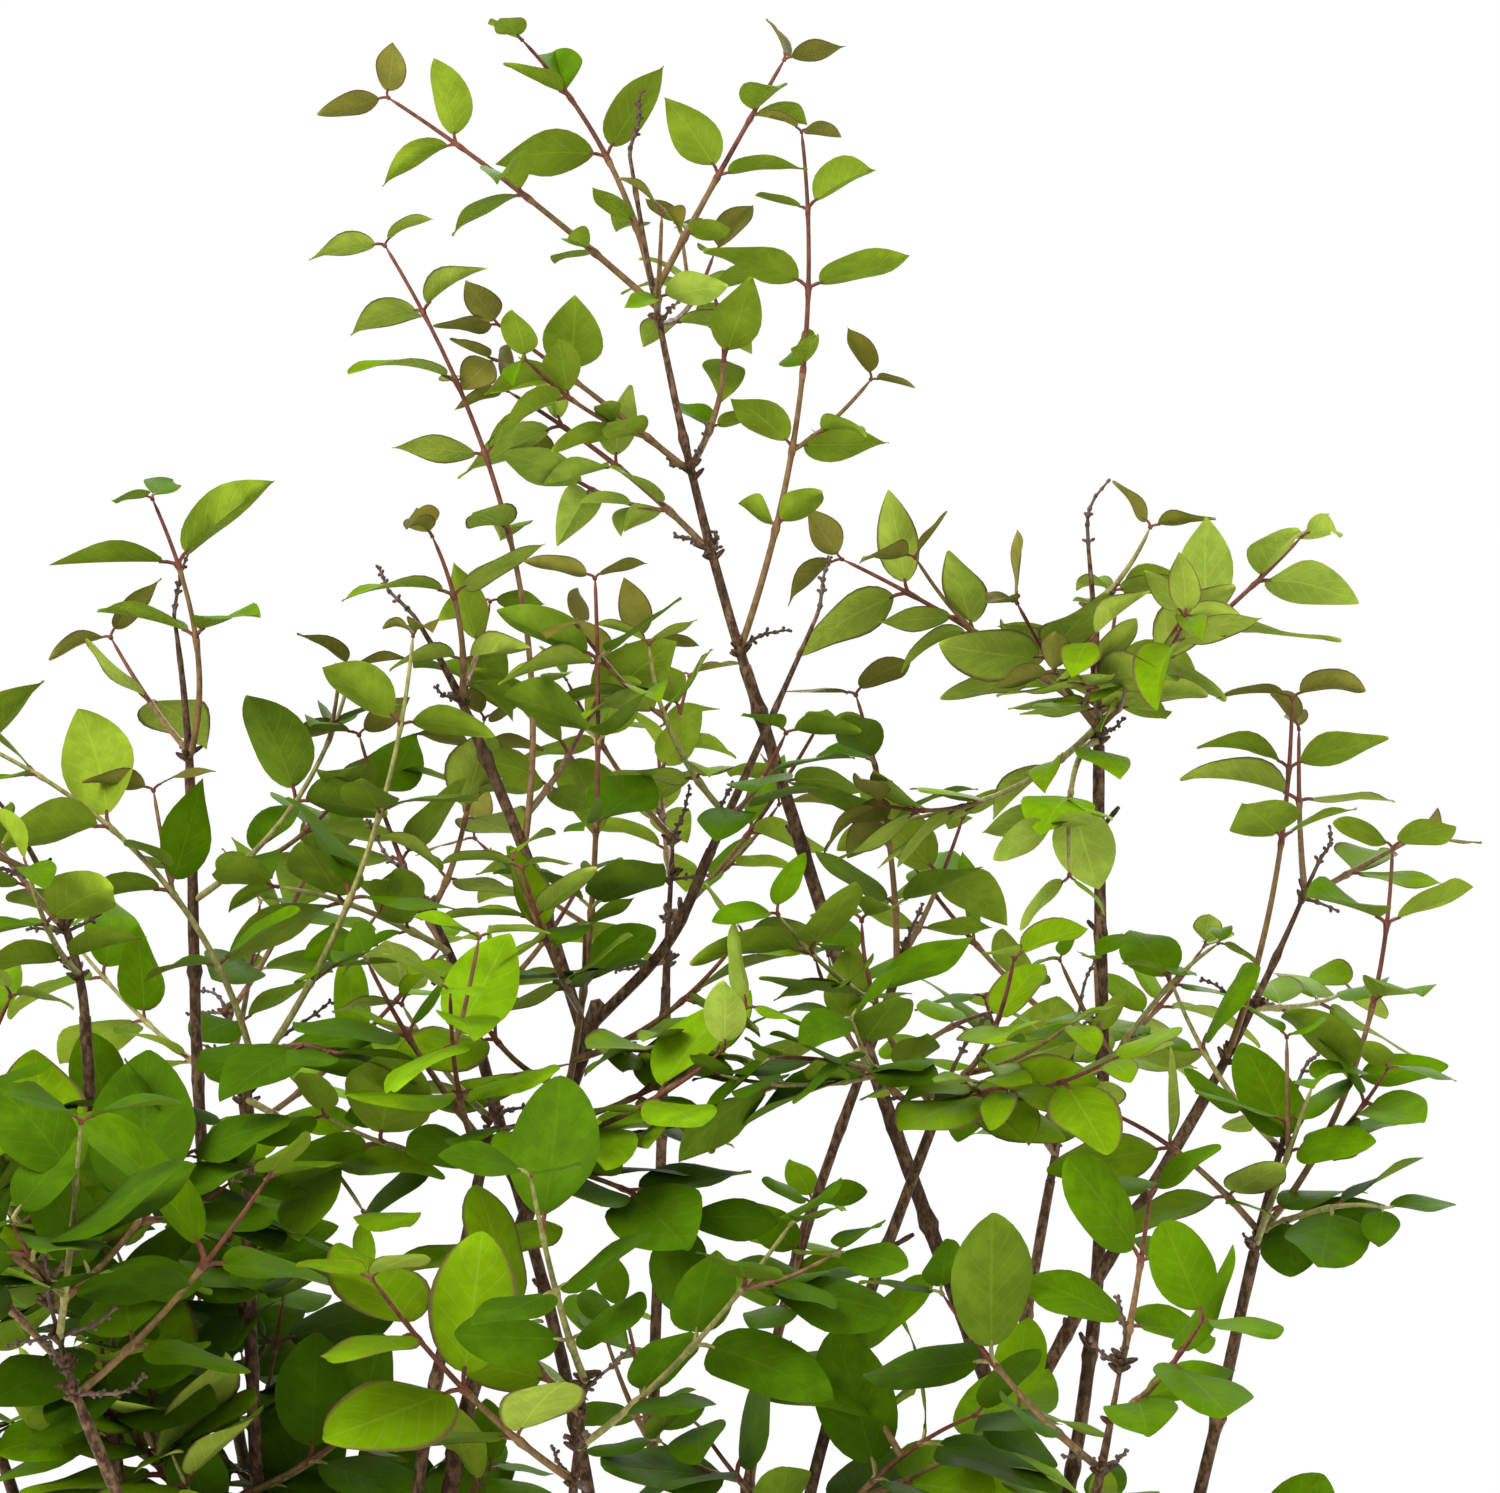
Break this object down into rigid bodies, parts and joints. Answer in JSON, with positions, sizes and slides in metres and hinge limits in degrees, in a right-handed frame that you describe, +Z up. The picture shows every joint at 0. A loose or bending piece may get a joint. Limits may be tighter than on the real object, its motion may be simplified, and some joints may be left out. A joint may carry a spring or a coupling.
{
  "type": "potted snowberry shrub",
  "caption": "Open, upright snowberry shrub with slender forked canes and paired oval leaves, rooted in compost in a plain round nursery pot.",
  "frame": {"origin": "middle of the pot's flat underside", "axes": "+Z up along the canes, +X to the right and -Y to the front as the picture shows the plant"},
  "size_m": [0.5753, 0.4924, 0.9559],
  "materials": {
    "pot": "matt dark grey moulded nursery-pot plastic",
    "compost": "dark, crumbly bark compost",
    "bark": "thin brown bark with grey streaks and small dark buds",
    "foliage": "smooth mid-green leaves, paler and matt beneath, on red-brown shoots"
  },
  "bodies": {
    "root": {"arching_cane": "bark", "arching_cane_low_foliage": "foliage", "arching_crown": "foliage", "back_cane": "bark", "back_cane_low_foliage": "foliage", "back_crown": "foliage", "back_left_cane": "bark", "back_left_crown": "foliage", "back_right_cane": "bark", "back_right_cane_low_foliage": "foliage", "back_right_crown": "foliage", "bare_cane": "bark", "bare_cane_low_foliage": "foliage", "bare_cane_shoot": "foliage", "bare_crown": "foliage", "centre_bough": "bark", "centre_cane": "bark", "centre_cane_low_foliage": "foliage", "centre_crown": "foliage", "compost": "compost", "far_right_cane": "bark", "far_right_cane_low_foliage": "foliage", "far_right_crown": "foliage", "fork_foliage": "foliage", "front_cane": "bark", "front_crown": "foliage", "front_left_cane": "bark", "front_left_crown": "foliage", "front_right_cane": "bark", "front_right_cane_low_foliage": "foliage", "front_right_crown": "foliage", "inner_cane": "bark", "inner_crown": "foliage", "leaning_cane": "bark", "leaning_cane_low_foliage": "foliage", "leaning_crown": "foliage", "left_cane": "bark", "left_cane_low_foliage": "foliage", "left_crown": "foliage", "long_shoot": "foliage", "middle_cane": "bark", "middle_cane_low_foliage": "foliage", "middle_crown": "foliage", "outer_right_crown": "foliage", "pot": "pot", "right_cane": "bark", "right_cane_low_foliage": "foliage", "right_crown": "foliage", "slender_cane": "bark", "slender_cane_low_foliage": "foliage", "slender_crown": "foliage", "spiked_cane": "bark", "spiked_crown": "foliage", "tall_bough": "bark", "tall_bough_low_foliage": "foliage", "tall_crown": "foliage", "upper_bough": "bark", "upper_crown": "foliage", "upright_cane": "bark", "upright_cane_low_foliage": "foliage"}
  },
  "joints": []
}
